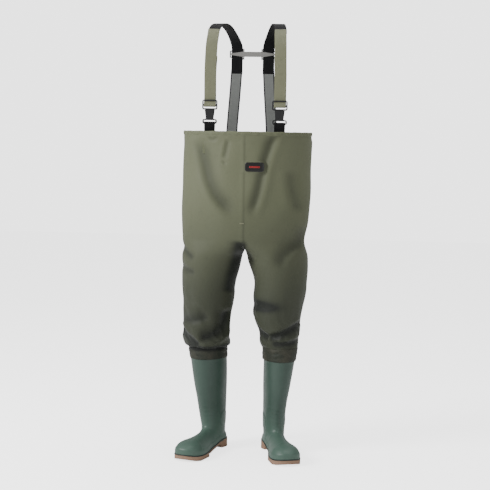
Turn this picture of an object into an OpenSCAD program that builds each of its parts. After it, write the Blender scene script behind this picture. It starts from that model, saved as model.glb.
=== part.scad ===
// Chest waders: a coated-fabric bib and legs welded to moulded boots, held up by
// buckled elastic braces. Millimetres, +Z up, -Y is the wearer's front and +X the
// wearer's left. The origin is on the ground under the middle of the whole.
// Every side part is drawn for the left and mirrored in X = 0 for the right.

/* [Bib] */
// Height of the top hem above the ground
hem_height = 1100; // [1095:1:1105]
// Width of the bib at the hem
chest_width = 432; // [424:2:440]
// Depth of the bib at the hem
chest_depth = 280; // [276:1:290]
// Thickness of the coated fabric
fabric_t = 2.5; // [2:0.1:2.6]

/* [Legs] */
// Distance of the ankle behind the bib's axis
foot_back = 25; // [21:1:29]
// Outward turn of each boot
toe_out = 18; // [14:1:22]
// Thickness of the boot's wall
boot_wall = 3.5; // [3:0.1:4]

/* [Braces] */
// Width of the strap webbing
strap_w = 40; // [36:1:40]
// Thickness of the strap webbing
strap_t = 1.8; // [1.4:0.1:1.8]
// Sideways distance of each front strap from the middle
front_strap_x = 117; // [114:1:118]
// Sideways distance of each back strap from the middle, at the yoke
back_strap_x = 55; // [50:1:58]

/* [Hidden] */
$fn = 48;
body_y = 27; // the bib's own axis, behind the origin
crotch_z = 700;
hip_z = 790;
hip_r = 140; // the bib ends inside this radius about the hip axis
crotch_strip = 14; // half width of the strip that stays with the bib between the legs
knee_z = 470;
knee_y = 14; // from the bib's axis
knee_r = 105; // the leg ends inside this radius about the knee axis
joint_gap = 3;
leg_bottom_z = 352;
ring_n = 56; // corners of each fabric ring
green = [0.36, 0.38, 0.30];
boot_green = [0.20, 0.33, 0.27];
tan = [0.66, 0.53, 0.43];
webbing_black = [0.10, 0.10, 0.11];
olive = [0.55, 0.56, 0.45];
grey = [0.50, 0.51, 0.50];
plastic_grey = [0.52, 0.49, 0.48];

// Bib stations from crotch to hem: [share of the height, share of width, share of depth]
bib_stations = [
    [0.000, 0.980, 0.890],
    [0.125, 0.968, 0.914],
    [0.250, 0.995, 0.943],
    [0.425, 1.023, 0.986],
    [0.750, 1.020, 1.007],
    [1.000, 1.000, 1.000],
];
// Leg stations from the boot upwards: [height, centre x, centre y, half width, half depth]
leg_stations = [
    [leg_bottom_z, 124, 24, 61, 78],
    [378, 125, 21, 76, 84],
    [410, 125, 18, 82, 87],
    [470, 125, 14, 84, 91],
    [560, 123, 8, 88, 99],
    [640, 117, 2, 97, 110],
    [700, 109, 0, 104, 114],
    [800, 105, 0, 106, 110],
];
// Boot shaft stations in the boot's own frame: [height, centre x, centre y, half width, half depth]
shaft_stations = [
    [20, 0, 8, 35, 60],
    [60, 0, 8, 35, 60],
    [100, 0, 7, 37, 63],
    [150, 0, 6, 38, 68],
    [220, 4, 2, 44, 77],
    [290, 9, -2, 51, 79],
    [345, 13, -6, 55, 77],
];
boot_x = 108; // middle of the ankle
boot_top_z = 345;

// Strap plane and buckle heights
strap_y = -100; // of the front straps and buckles, from the bib's axis
back_y = 119; // of the back straps, from the bib's axis
anchor_x = 69; // sideways distance of each back strap from the middle, at the hem
patch_z = [1030, 1070]; // of the patches that hold the straps inside the bib
fold_z = 1160; // where the back elastics bend when the braces are thrown back
fold_gap = 4;
fold_x = 66; // sideways distance of each elastic from the middle, at its bend
patch_t = 1.4;
loop_z = [1128, 1144];
socket_top_z = 1174.5;
frame_z = [1175, 1208];
mid_bar_z = [1187, 1193];
yoke_z = 1372;
black_end_z = 1323;
shoulder_seam_z = 1440;
prong_pivot = [9.5, 1172]; // from the strap's middle, and above the ground
prong_root_r = 2.2;
tongue_t = 4.4; // of the tongue and prongs
chamber_t = 6.8; // room for them in the socket

// ---------- Lofts ----------

function ring(z, cx, cy, rx, ry) =
    [for (i = [0:ring_n - 1]) let (a = 360 * i / ring_n)
        [cx + rx * cos(a), cy + ry * sin(a), z]];

// The closed skin over a list of rings that all have the same number of corners
module skin(rings) {
    n = len(rings[0]);
    last = (len(rings) - 1) * n;
    sides = [for (r = [0:len(rings) - 2], j = [0:n - 1])
        let (a = r * n + j, b = r * n + (j + 1) % n)
            each [[a, a + n, b + n], [a, b + n, b]]];
    polyhedron(
        points = [for (r = rings) each r],
        faces = concat(
            sides,
            [[for (j = [0:n - 1]) j]],
            [[for (j = [n - 1:-1:0]) last + j]]));
}

// A strap along a path of centre points, w wide along the direction across[i]
module ribbon(path, across, w, t) {
    last = len(path) - 1;
    rings = [for (i = [0:last])
        let (
            way = path[min(i + 1, last)] - path[max(i - 1, 0)],
            side = across[i] / norm(across[i]),
            face = cross(way, side) / norm(cross(way, side)))
            [for (c = [[-1, -1], [1, -1], [1, 1], [-1, 1]])
                path[i] + side * c[0] * w / 2 + face * c[1] * t / 2]];
    skin(rings);
}

// Soft goods are one facetted skin, whatever is cut out of them
module soft() {
    resize([0, 0, 0]) children();
}

module mirrored(side) {
    mirror([side < 0 ? 1 : 0, 0, 0]) children();
}

module at_body() {
    translate([0, body_y, 0]) children();
}

// ---------- Fabric ----------

function bib_z(share) = crotch_z + share * (hem_height - crotch_z);

// Half depth of the bib at a height, between two stations
function bib_half_depth(z) =
    lookup(z, [for (s = bib_stations) [bib_z(s[0]), s[2] * chest_depth / 2]]);

// Half width of the bib at a height, between two stations
function bib_half_width(z) =
    lookup(z, [for (s = bib_stations) [bib_z(s[0]), s[1] * chest_width / 2]]);

module bib_form(inset, above = 0) {
    last = len(bib_stations) - 1;
    skin([for (i = [0:last]) let (s = bib_stations[i])
        ring(
            bib_z(s[0]) + (i == 0 ? inset : 0) + (i == last ? above : 0),
            0, 0,
            s[1] * chest_width / 2 - inset,
            s[2] * chest_depth / 2 - inset)]);
}

module leg_form(inset, below = 0) {
    last = len(leg_stations) - 1;
    skin([for (i = [0:last]) let (s = leg_stations[i])
        ring(
            s[0] - (i == 0 ? below : 0) - (i == last ? inset : 0),
            s[1], s[2], s[3] - inset, s[4] - inset)]);
}

module waders_form(inset, past = 0) {
    bib_form(inset, past);
    for (side = [-1, 1]) mirrored(side) leg_form(inset, past);
}

module fabric_shell() {
    difference() {
        waders_form(0);
        waders_form(fabric_t, 1);
    }
}

module axis_drum(y, z, r) {
    translate([0, y, z]) rotate([0, 90, 0]) cylinder(r = r, h = 600, center = true, $fn = 96);
}

// The middle strip under the crotch, between the legs
module middle_strip(grow) {
    half = crotch_strip + grow;
    translate([-half, -300, crotch_z - 10 - grow]) cube([2 * half, 600, hip_z - crotch_z]);
}

module side_half(side, from_x = 0) {
    translate([side > 0 ? from_x : -400 - from_x, -300, 0]) cube([400, 600, 1300]);
}

module bib_panel(side) {
    color(green) soft() at_body() intersection() {
        fabric_shell();
        side_half(side, 0.1);
        union() {
            translate([-400, -300, hip_z]) cube([800, 600, 500]);
            axis_drum(0, hip_z, hip_r);
            middle_strip(0);
        }
    }
}

module leg(side) {
    color(green) soft() at_body() difference() {
        intersection() {
            fabric_shell();
            side_half(side, 1.5);
            union() {
                translate([-400, -300, knee_z]) cube([800, 600, hip_z - knee_z]);
                axis_drum(knee_y, knee_z, knee_r);
            }
        }
        axis_drum(0, hip_z, hip_r + joint_gap);
        middle_strip(1.5);
    }
}

module cuff(side) {
    color(green) soft() at_body() difference() {
        intersection() {
            fabric_shell();
            side_half(side, 1.5);
            translate([-400, -300, 0]) cube([800, 600, knee_z]);
        }
        axis_drum(knee_y, knee_z, knee_r + joint_gap);
    }
}

// The folded top edge, inside the bib
module hem_band() {
    hem_h = 26;
    inset = fabric_t + 0.3;
    color(green) soft() at_body() difference() {
        translate([0, 0, hem_height - hem_h])
            skin([for (z = [0, hem_h])
                ring(z, 0, 0, chest_width / 2 - inset, chest_depth / 2 - inset)]);
        translate([0, 0, hem_height - hem_h])
            skin([for (z = [-1, hem_h + 1])
                ring(z, 0, 0, chest_width / 2 - inset - 1.1, chest_depth / 2 - inset - 1.1)]);
    }
}

// Tape welded over a centre seam, inside; facing is -1 at the front and 1 at the back
module seam_tape(facing) {
    heights = [720, 750, 800, 870, 1000, 1068];
    path = [for (z = heights) [0, facing * (bib_half_depth(z) - fabric_t - 1.1), z]];
    color(green) at_body() ribbon(path, [for (z = heights) [1, 0, 0]], 22, 1);
}

module crotch_tape() {
    color(green) at_body()
        translate([-5, -85, crotch_z + fabric_t + 0.2]) cube([10, 170, 1.5]);
}

module badge() {
    badge_w = 62;
    badge_h = 29;
    corner = 7;
    badge_t = 1.8;
    badge_x = 40;
    badge_z = 988;
    a = bib_half_width(badge_z);
    b = bib_half_depth(badge_z);
    reach = sqrt(a * a - badge_x * badge_x);
    turn = atan(b * badge_x / (a * reach)); // follows the bib's curve
    color(webbing_black) at_body()
        translate([badge_x, -b * reach / a - 0.3, badge_z]) rotate([90, 0, turn])
            linear_extrude(badge_t)
                hull() for (x = [-1, 1], y = [-1, 1])
                    translate([x * (badge_w / 2 - corner), y * (badge_h / 2 - corner)])
                        circle(corner, $fn = 32);
}

// ---------- Buckles ----------

// Puts a left front strap part's own plane on the strap: x across, y through, z up
module at_front_strap(side) {
    mirrored(side) at_body() translate([front_strap_x, strap_y, 0]) children();
}

// Draws a flat outline in the strap's plane, thick through the strap
module plate(thick) {
    rotate([90, 0, 0]) linear_extrude(thick, center = true) children();
}

module rounded_box(w, h, r) {
    hull() for (x = [-1, 1], y = [-1, 1])
        translate([x * (w / 2 - r), y * (h / 2 - r)]) circle(r, $fn = 24);
}

// The female half: two plates joined below the prongs, over a webbing loop
module socket(side) {
    neck_z = loop_z[1];
    bar_top = loop_z[0] + 5;
    bar_t = 5.2;
    slot_w = 39;
    color(webbing_black) at_front_strap(side) difference() {
        union() {
            plate(10) polygon([[-16.5, socket_top_z], [16.5, socket_top_z],
                               [12.5, neck_z + 2], [20, neck_z - 2],
                               [-20, neck_z - 2], [-12.5, neck_z + 2]]);
            plate(10) translate([0, (loop_z[0] + neck_z) / 2])
                rounded_box(48, neck_z - loop_z[0], 6);
        }
        // Webbing slot, and the thinner bar under it
        translate([-slot_w / 2, -6, bar_top]) cube([slot_w, 12, 7]);
        for (y = [-6, bar_t / 2]) translate([-slot_w / 2, y, loop_z[0] - 1])
            cube([slot_w, 6 - bar_t / 2, 7]);
        // Prong chamber, open at both sides
        translate([-20, -chamber_t / 2, 1150]) cube([40, chamber_t, 40]);
    }
}

// The male half: a ladder frame over a guide tongue, with a seat for each prong's root
module plug(side) {
    inner_w = 43;
    seat_r = prong_root_r + 0.3;
    color(webbing_black) at_front_strap(side) {
        difference() {
            plate(5) translate([0, (frame_z[0] + frame_z[1]) / 2])
                rounded_box(51, frame_z[1] - frame_z[0], 6);
            translate([-inner_w / 2, -4, frame_z[0] + 5])
                cube([inner_w, 8, mid_bar_z[0] - frame_z[0] - 5]);
            translate([-inner_w / 2, -4, mid_bar_z[1]])
                cube([inner_w, 8, frame_z[1] - 4 - mid_bar_z[1]]);
            // The middle bar is thinner than the frame
            for (y = [-4, 2]) translate([-inner_w / 2, y, mid_bar_z[0] - 1])
                cube([inner_w, 2, mid_bar_z[1] - mid_bar_z[0] + 2]);
        }
        plate(tongue_t) difference() {
            union() {
                translate([-3, 1152]) square([6, frame_z[0] - 1152 + 1]);
                translate([-13.5, prong_pivot[1] - 1]) square([27, frame_z[0] - prong_pivot[1] + 2]);
            }
            for (x = [-1, 1]) translate([x * prong_pivot[0], prong_pivot[1]]) {
                circle(seat_r);
                translate([-seat_r, -5]) square([2 * seat_r, 5]);
            }
        }
    }
}

// A sprung release prong; hand is 1 for the outer one and -1 for the inner one
module prong(side, hand) {
    tip_z = 1151.5;
    x = prong_pivot[0];
    color(webbing_black) at_front_strap(side) mirror([hand < 0 ? 1 : 0, 0, 0]) union() {
        plate(tongue_t) translate(prong_pivot) circle(prong_root_r);
        plate(tongue_t)
            polygon([[x - 1.8, prong_pivot[1]], [x + 1.8, prong_pivot[1]], [11.6, 1163],
                     [14.5, 1161], [14, 1154], [11, tip_z], [8, tip_z], [x - 1.8, 1164]]);
    }
}

// ---------- Webbing ----------

// Black webbing from inside the hem, round the socket's lower bar and back, as seen edge-on
module tab(side) {
    tab_w = 36;
    layer = 1.8;
    open = 2.9; // half the gap at the bar
    shut = 0.15; // half the gap below it
    top = loop_z[0] + 5.3;
    low = 1046;
    color(webbing_black) at_front_strap(side) rotate([90, 0, 90])
        linear_extrude(tab_w, center = true) difference() {
            polygon([[-open - layer, top], [-open, top + layer],
                     [open, top + layer], [open + layer, top],
                     [open + layer, 1118], [shut + layer, 1104], [shut + layer, low],
                     [-shut - layer, low], [-shut - layer, 1104], [-open - layer, 1118]]);
            polygon([[-open, top], [open, top], [open, 1118.5], [shut, 1104.5],
                     [shut, low + 20], [-shut, low + 20], [-shut, 1104.5], [-open, 1118.5]]);
        }
}

module tab_patch(side) {
    color(green) at_front_strap(side)
        translate([-22, -4.4, patch_z[0]]) cube([44, patch_t, patch_z[1] - patch_z[0]]);
}

// The lower end of the back elastic, below its bend line
module back_anchor(side) {
    path = [[anchor_x, back_y, patch_z[0] + 10], [anchor_x, back_y, 1100],
            [fold_x, back_y, fold_z - fold_gap]];
    color(grey) mirrored(side) at_body()
        ribbon(path, [for (p = path) [1, 0, 0]], strap_w, strap_t);
}

module back_patch(side) {
    color(green) mirrored(side) at_body()
        translate([anchor_x - 24, back_y + 1.4, patch_z[0]])
            cube([48, patch_t, patch_z[1] - patch_z[0]]);
}

module back_elastic(side) {
    path = [[fold_x, back_y, fold_z + fold_gap], [back_strap_x, back_y, black_end_z - 0.2]];
    color(grey) mirrored(side) at_body()
        ribbon(path, [for (p = path) [1, 0, 0]], strap_w, strap_t);
}

// Straight up through the yoke, then over the shoulder to the front seam
module shoulder_strap(side) {
    path = [
        [back_strap_x, back_y, black_end_z],
        [back_strap_x, back_y, yoke_z + 22],
        [back_strap_x + 4, back_y - 6, yoke_z + 38],
        [back_strap_x + 13, back_y - 24, yoke_z + 62],
        [back_strap_x + 25, back_y - 54, yoke_z + 84],
        [back_strap_x + 36, back_y - 92, yoke_z + 94],
        [back_strap_x + 45, back_y - 130, yoke_z + 93],
        [back_strap_x + 52, back_y - 160, yoke_z + 84],
        [back_strap_x + 57, back_y - 182, shoulder_seam_z - 2],
    ];
    across = [
        [1, 0, 0], [1, 0, 0], [1, 0.1, 0.1], [1, 0.25, 0.15], [1, 0.3, 0.1],
        [1, 0.28, 0], [1, 0.2, 0], [1, 0.08, 0], [1, 0, 0],
    ];
    color(webbing_black) mirrored(side) at_body()
        ribbon(path, across, strap_w, strap_t);
}

// Olive strap in front, from the shoulder seam down to the buckle
module front_strap(side) {
    out = -5.3; // in front of the buckle's plane
    path = [
        [front_strap_x, strap_y + out, 1190],
        [front_strap_x, strap_y + out, 1300],
        [front_strap_x - 1, strap_y + out + 4, 1360],
        [front_strap_x - 3, strap_y + out + 15, 1405],
        [back_strap_x + 57, back_y - 190, shoulder_seam_z - 4],
    ];
    color(olive) mirrored(side) at_body()
        ribbon(path, [for (p = path) [1, 0, 0]], strap_w, strap_t);
}

// The strap's free end, going back up behind the buckle
module strap_tail(side) {
    path = [[front_strap_x, strap_y + 5.3, 1190], [front_strap_x, strap_y + 5.3, 1300],
            [front_strap_x - 1, strap_y + 8.5, 1350]];
    color(olive) mirrored(side) at_body()
        ribbon(path, [for (p = path) [1, 0, 0]], strap_w, strap_t);
}

// The turn of the strap round the buckle's middle bar
module strap_fold(side) {
    inner = 2.3;
    outer = inner + strap_t;
    low = mid_bar_z[0] - 0.4;
    arm = 9;
    color(olive) at_front_strap(side) rotate([90, 0, 90])
        linear_extrude(strap_w, center = true) difference() {
            union() {
                translate([0, low]) circle(outer);
                translate([-outer, low]) square([2 * outer, arm]);
            }
            translate([0, low]) circle(inner);
            translate([-inner, low]) square([2 * inner, arm + 1]);
        }
}

// Moulded H-piece: its middle bar passes in front of both straps and its outer bars behind
module back_yoke() {
    inner_x = back_strap_x - 22;
    outer_x = back_strap_x + 24;
    bar_t = 2.2;
    front = strap_t / 2 + 0.5 + bar_t; // half of the whole thickness
    color(plastic_grey) at_body() translate([0, back_y, yoke_z]) {
        // Middle bar, tapered over each strap
        translate([0, -front + bar_t / 2, 0]) plate(bar_t)
            polygon([[-outer_x, 2.5], [-inner_x, 9], [inner_x, 9], [outer_x, 2.5],
                     [outer_x, -2.5], [inner_x, -9], [-inner_x, -9], [-outer_x, -2.5]]);
        for (s = [-1, 1]) {
            // Outer bars
            for (v = [-1, 1]) translate([0, front - bar_t / 2, 0]) plate(bar_t)
                polygon([[s * (inner_x - 2), v * 13.5], [s * (inner_x - 2), v * 18.5],
                         [s * (outer_x + 2), v * 12], [s * (outer_x + 2), v * 8]]);
            // Side links round the strap's edges
            translate([s * (inner_x - 1.2), 0, 0]) plate(2 * front)
                square([4, 37], center = true);
            translate([s * (outer_x - 0.2), 0, 0]) plate(2 * front)
                square([4, 24], center = true);
        }
    }
}

// ---------- Boots ----------

module at_boot(side) {
    mirrored(side) translate([boot_x, body_y + foot_back, 0]) rotate([0, 0, toe_out])
        children();
}

sole_length_y = [-232, 72]; // toe tip and heel back in the boot's frame

// Where the upper meets the sole, from toe to heel
function sole_top(rise) = [
    [-232, 22 + rise], [-205, 17 + rise], [-180, 15 + rise], [-90, 15 + rise],
    [-45, 19 + rise], [-5, 27 + rise], [72, 30 + rise],
];

// Everything under the sole's top surface, raised by rise
module below_sole_top(rise) {
    rotate([90, 0, 90]) linear_extrude(200, center = true)
        polygon(concat([[300, -60], [-300, -60], [-300, 22 + rise]],
                       sole_top(rise), [[300, 30 + rise]]));
}

// Centre x, centre y, half width and half depth of the shaft at a height
function shaft_at(z) =
    [for (k = [1:4]) lookup(z, [for (s = shaft_stations) [s[0], s[k]]])];

module shaft_form(inset, above = 0) {
    last = len(shaft_stations) - 1;
    skin([for (i = [0:last]) let (s = shaft_stations[i])
        ring(s[0] + (i == last ? above : 0), s[1], s[2], s[3] - inset, s[4] - inset)]);
}

module foot_form(inset) {
    // Heel and ankle
    hull() {
        translate([0, 33, 20]) cylinder(r = 36 - inset, h = 40, $fn = 32);
        translate([0, -16, 76]) sphere(r = 33 - inset, $fn = 24);
        waist(inset);
    }
    // Vamp and toe cap
    hull() {
        waist(inset);
        translate([-2, -135, 27]) scale([1, 1, 0.9]) sphere(r = 46 - inset, $fn = 32);
        translate([0, -181, 12]) cylinder(r = 47 - inset, h = 22, $fn = 32);
        translate([0, -181, 34]) scale([1, 1, 0.62]) sphere(r = 47 - inset, $fn = 32);
    }
}

module waist(inset) {
    translate([0, -75, 20]) cylinder(r = 36 - inset, h = 25, $fn = 32);
    translate([0, -60, 45]) sphere(r = 33 - inset, $fn = 24);
}

module boot(side) {
    color(boot_green) soft() at_boot(side) difference() {
        union() {
            shaft_form(0);
            foot_form(0);
        }
        below_sole_top(0.1);
        difference() {
            union() {
                shaft_form(boot_wall, 1);
                foot_form(boot_wall);
            }
            below_sole_top(boot_wall);
        }
    }
}

// Knitted lining of the shaft
module lining(side) {
    inset = boot_wall + 0.4;
    color(olive) soft() at_boot(side) difference() {
        intersection() {
            shaft_form(inset);
            translate([-200, -200, 105]) cube([400, 400, boot_top_z - 108]);
        }
        shaft_form(inset + 1.2, 1);
    }
}

module insole(side) {
    color(grey) soft() at_boot(side) difference() {
        intersection() {
            foot_form(boot_wall + 1.5);
            below_sole_top(boot_wall + 4.5);
        }
        below_sole_top(boot_wall + 0.4);
    }
}

// A sleeve round the shaft, grow outside its surface, past each end of the band
module band_form(grow, past) {
    low = 318;
    high = boot_top_z + 4;
    skin([for (z = [low - past, boot_top_z, high + past]) let (s = shaft_at(z))
        ring(z, s[0], s[1], s[2] + grow, s[3] + grow)]);
}

// Fabric strip welded over the joint of leg and boot
module band(side) {
    clear = 0.6;
    band_t = 2;
    color(green) soft() at_boot(side) difference() {
        band_form(clear + band_t, 0);
        band_form(clear, 1);
    }
}

module sole_plan() {
    offset(r = -40) offset(r = 40) {
        translate([0, 33]) circle(38);
        hull() {
            translate([-2, -135]) circle(48);
            translate([0, -181]) circle(49);
        }
        translate([-31, -130]) square([62, 160]);
    }
}

// The sole's side outline: heel block, raised shank, forefoot and a little toe spring
module sole_side() {
    polygon(concat(
        [[72, 4], [69, 0], [10, 0], [5, 3], [3, 14], [-30, 10], [-62, 4], [-76, 0],
         [-186, 0], [-212, 4], [-232, 11]],
        sole_top(0)));
}

module sole(side) {
    groove_w = 4.5;
    groove_d = 5;
    color(tan) at_boot(side) difference() {
        intersection() {
            linear_extrude(40) sole_plan();
            rotate([90, 0, 90]) linear_extrude(140, center = true) sole_side();
        }
        // Cross grooves of the forefoot and heel
        for (y = [-196:17:-94]) translate([-80, y, -1]) cube([160, groove_w, groove_d + 1]);
        for (y = [26, 44]) translate([-80, y, -1]) cube([160, groove_w, groove_d + 1]);
        // Lengthwise channel of the forefoot
        translate([-4, -225, -1]) cube([8, 150, groove_d + 1]);
    }
}

// ---------- Nodes ----------

bib_panel(-1);  // right_bib_panel
bib_panel(1);  // left_bib_panel
hem_band();
seam_tape(-1);  // front_seam_tape
seam_tape(1);  // back_seam_tape
crotch_tape();
badge();
tab(-1);  // right_tab
tab(1);  // left_tab
tab_patch(-1);  // right_tab_patch
tab_patch(1);  // left_tab_patch
socket(-1);  // right_socket
socket(1);  // left_socket
back_anchor(-1);  // right_back_anchor
back_anchor(1);  // left_back_anchor
back_patch(-1);  // right_back_patch
back_patch(1);  // left_back_patch
back_elastic(-1);  // right_back_elastic
back_elastic(1);  // left_back_elastic
shoulder_strap(-1);  // right_shoulder_strap
shoulder_strap(1);  // left_shoulder_strap
front_strap(-1);  // right_front_strap
front_strap(1);  // left_front_strap
strap_tail(-1);  // right_strap_tail
strap_tail(1);  // left_strap_tail
back_yoke();
plug(-1);  // right_plug
plug(1);  // left_plug
strap_fold(-1);  // right_strap_fold
strap_fold(1);  // left_strap_fold
prong(-1, 1);  // right_prong_outer
prong(-1, -1);  // right_prong_inner
prong(1, 1);  // left_prong_outer
prong(1, -1);  // left_prong_inner
leg(-1);  // right_leg
leg(1);  // left_leg
cuff(-1);  // right_cuff
cuff(1);  // left_cuff
band(-1);  // right_band
band(1);  // left_band
boot(-1);  // right_boot
boot(1);  // left_boot
lining(-1);  // right_lining
lining(1);  // left_lining
insole(-1);  // right_insole
insole(1);  // left_insole
sole(-1);  // right_sole
sole(1);  // left_sole
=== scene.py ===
"""Looks for the chest waders: simulated coated fabric, moulded boots, webbing braces and buckles."""

import math

import bpy
import numpy as np
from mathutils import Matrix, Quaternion, Vector
from mathutils.bvhtree import BVHTree


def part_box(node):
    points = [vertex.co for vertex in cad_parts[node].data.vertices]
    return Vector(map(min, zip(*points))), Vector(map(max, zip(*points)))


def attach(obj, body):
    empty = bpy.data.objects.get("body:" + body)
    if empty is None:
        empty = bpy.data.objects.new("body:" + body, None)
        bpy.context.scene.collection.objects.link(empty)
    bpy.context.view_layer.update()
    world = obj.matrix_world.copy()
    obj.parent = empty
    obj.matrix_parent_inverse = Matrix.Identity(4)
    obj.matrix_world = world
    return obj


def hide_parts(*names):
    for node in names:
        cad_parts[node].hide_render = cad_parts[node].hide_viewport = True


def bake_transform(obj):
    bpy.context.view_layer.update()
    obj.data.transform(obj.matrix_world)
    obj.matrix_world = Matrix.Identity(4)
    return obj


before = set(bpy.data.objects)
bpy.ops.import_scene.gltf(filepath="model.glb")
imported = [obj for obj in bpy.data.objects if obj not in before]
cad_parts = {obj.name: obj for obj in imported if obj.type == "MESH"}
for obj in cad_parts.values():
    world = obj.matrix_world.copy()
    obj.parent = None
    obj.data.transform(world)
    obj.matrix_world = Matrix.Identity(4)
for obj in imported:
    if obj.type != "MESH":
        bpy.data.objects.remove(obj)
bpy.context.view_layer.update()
TAU = 2 * math.pi
SIDES = (("left", 1), ("right", -1))  # the wearer's, with the sign of x

# ---------- Reference points, in metres ----------
hem_low, hem_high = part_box("hem_band")
HEM = hem_high.z + 0.003
BY = (hem_low.y + hem_high.y) / 2  # the bib's own axis
CHEST_A = (hem_high.x - hem_low.x) / 2 + 0.0045
CHEST_B = (hem_high.y - hem_low.y) / 2 + 0.0028
band_low, band_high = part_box("left_band")
BAND_X = (band_low.x + band_high.x) / 2
BAND_Y = (band_low.y + band_high.y) / 2
BOOT_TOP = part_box("left_boot")[1].z
TOE_OUT = math.radians(18)
ANKLE = (0.108, BY + 0.025)
STRAP_X, STRAP_Y = 0.117, BY - 0.1
BACK_Y = BY + 0.119


def smooth(t):
    t = np.clip(t, 0, 1)
    return t * t * (3 - 2 * t)


def table(x, pairs):
    """Smooth curve through (x, value) pairs."""
    xs = np.array([p[0] for p in pairs], float)
    ys = np.array([p[1] for p in pairs], float)
    d = np.gradient(ys, xs)
    x = np.clip(np.asarray(x, float), xs[0], xs[-1])
    i = np.clip(np.searchsorted(xs, x, side="right") - 1, 0, len(xs) - 2)
    h = xs[i + 1] - xs[i]
    t = (x - xs[i]) / h
    t2, t3 = t * t, t * t * t
    return ((2 * t3 - 3 * t2 + 1) * ys[i] + (t3 - 2 * t2 + t) * h * d[i]
            + (-2 * t3 + 3 * t2) * ys[i + 1] + (t3 - t2) * h * d[i + 1])


# ---------- Materials ----------

class Nodes:
    """Short hand for building a shader."""

    def __init__(self, name):
        self.mat = bpy.data.materials.new(name)
        self.mat.use_nodes = True
        self.tree = self.mat.node_tree
        self.bsdf = self.tree.nodes["Principled BSDF"]
        self.coords = self.tree.nodes.new("ShaderNodeTexCoord")

    def link(self, a, b):
        self.tree.links.new(a, b)

    def put(self, socket, value):
        if hasattr(value, "is_output"):
            self.link(value, socket)
        elif isinstance(value, tuple) and len(value) == 3 and socket.type == "RGBA":
            socket.default_value = (*value, 1)
        else:
            socket.default_value = value

    def node(self, kind, out=0, **inputs):
        n = self.tree.nodes.new("ShaderNode" + kind)
        for k, v in inputs.items():
            if k.startswith("_"):
                setattr(n, k[1:], v)
            else:
                self.put(n.inputs[k.replace("__", " ")], v)
        return n.outputs[out]

    def math(self, op, a, b=0.0):
        n = self.tree.nodes.new("ShaderNodeMath")
        n.operation = op
        self.put(n.inputs[0], a)
        self.put(n.inputs[1], b)
        return n.outputs[0]

    def times(self, a, b):
        return self.math("MULTIPLY", a, b)

    def plus(self, a, b):
        return self.math("ADD", a, b)

    def noise(self, scale, detail=3.0, rough=0.5, where=None, stretch=None):
        vector = where if where is not None else self.coords.outputs["Object"]
        if stretch:
            vector = self.node("Mapping", Vector=vector, Scale=stretch)
        return self.node("TexNoise", Vector=vector, Scale=scale, Detail=detail, Roughness=rough)

    def mix(self, a, b, fac):
        n = self.tree.nodes.new("ShaderNodeMix")
        n.data_type = "RGBA"
        self.put(n.inputs["Factor"], fac)
        self.put(n.inputs[6], a)
        self.put(n.inputs[7], b)
        return n.outputs[2]

    def ramp(self, value, lo, hi):
        n = self.tree.nodes.new("ShaderNodeMapRange")
        n.interpolation_type = "SMOOTHSTEP"
        self.put(n.inputs["Value"], value)
        n.inputs["From Min"].default_value = lo
        n.inputs["From Max"].default_value = hi
        return n.outputs[0]

    def sine(self, value, per_unit):
        return self.math("SINE", self.times(value, TAU * per_unit))

    def weave(self, uv, pitch):
        """Height of a plain weave in UV metres."""
        sep = self.node("SeparateXYZ", Vector=uv)
        sep_y = sep.node.outputs[1]
        a, b = self.sine(sep, 1 / pitch), self.sine(sep_y, 1 / pitch)
        return self.times(self.times(a, b), 0.5)

    def bumps(self, *layers):
        """Each layer is (height, strength, distance in metres)."""
        normal = None
        for height, strength, distance in layers:
            n = self.tree.nodes.new("ShaderNodeBump")
            self.put(n.inputs["Height"], height)
            n.inputs["Strength"].default_value = strength
            n.inputs["Distance"].default_value = distance
            if normal is not None:
                self.link(normal, n.inputs["Normal"])
            normal = n.outputs[0]
        self.link(normal, self.bsdf.inputs["Normal"])

    def set(self, **inputs):
        for k, v in inputs.items():
            self.put(self.bsdf.inputs[k.replace("__", " ")], v)
        return self.mat


def fabric_material():
    n = Nodes("coated_fabric")
    obj = n.coords.outputs["Object"]
    # Painted shade: the colour is darker down the legs and lighter up the bib (the same ramp also nudges
    # roughness)
    height = n.node("SeparateXYZ", 2, Vector=obj)
    low = n.ramp(height, 0.48, 0.98)
    base = n.mix((0.0335, 0.038, 0.0232), (0.113, 0.123, 0.071), low)
    blotch = n.ramp(n.noise(5.0, 3), 0.3, 0.72)
    base = n.mix(base, (0.125, 0.128, 0.085), n.times(n.times(blotch, 0.2), low))
    base = n.mix(base, (0.018, 0.02, 0.015), n.times(n.ramp(n.noise(38.0, 4, 0.65), 0.55, 0.8), 0.16))
    # Painted shade: the crease attribute darkens the colour in the folds' valleys, under the crotch and under
    # the right leg's overhang
    crease = n.node("Attribute", 2, _attribute_name="crease")
    base = n.mix(base, (0.006, 0.008, 0.006), n.times(crease, 0.9))
    seam = n.node("Attribute", 2, _attribute_name="seam")
    base = n.mix(base, (0.012, 0.014, 0.01), n.times(seam, 0.55))
    weave = n.weave(n.coords.outputs["UV"], 0.0011)
    n.bumps((weave, 0.12, 0.0004), (n.noise(16.0, 4, 0.6), 0.2, 0.004), (n.noise(140.0, 3), 0.12, 0.0006))
    rough = n.plus(n.times(n.noise(9.0, 3), 0.16), n.plus(0.52, n.times(low, 0.02)))
    return n.set(Base__Color=base, Roughness=rough, Specular__IOR__Level=0.3, Sheen__Weight=0.06,
                 Sheen__Roughness=0.5)


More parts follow.
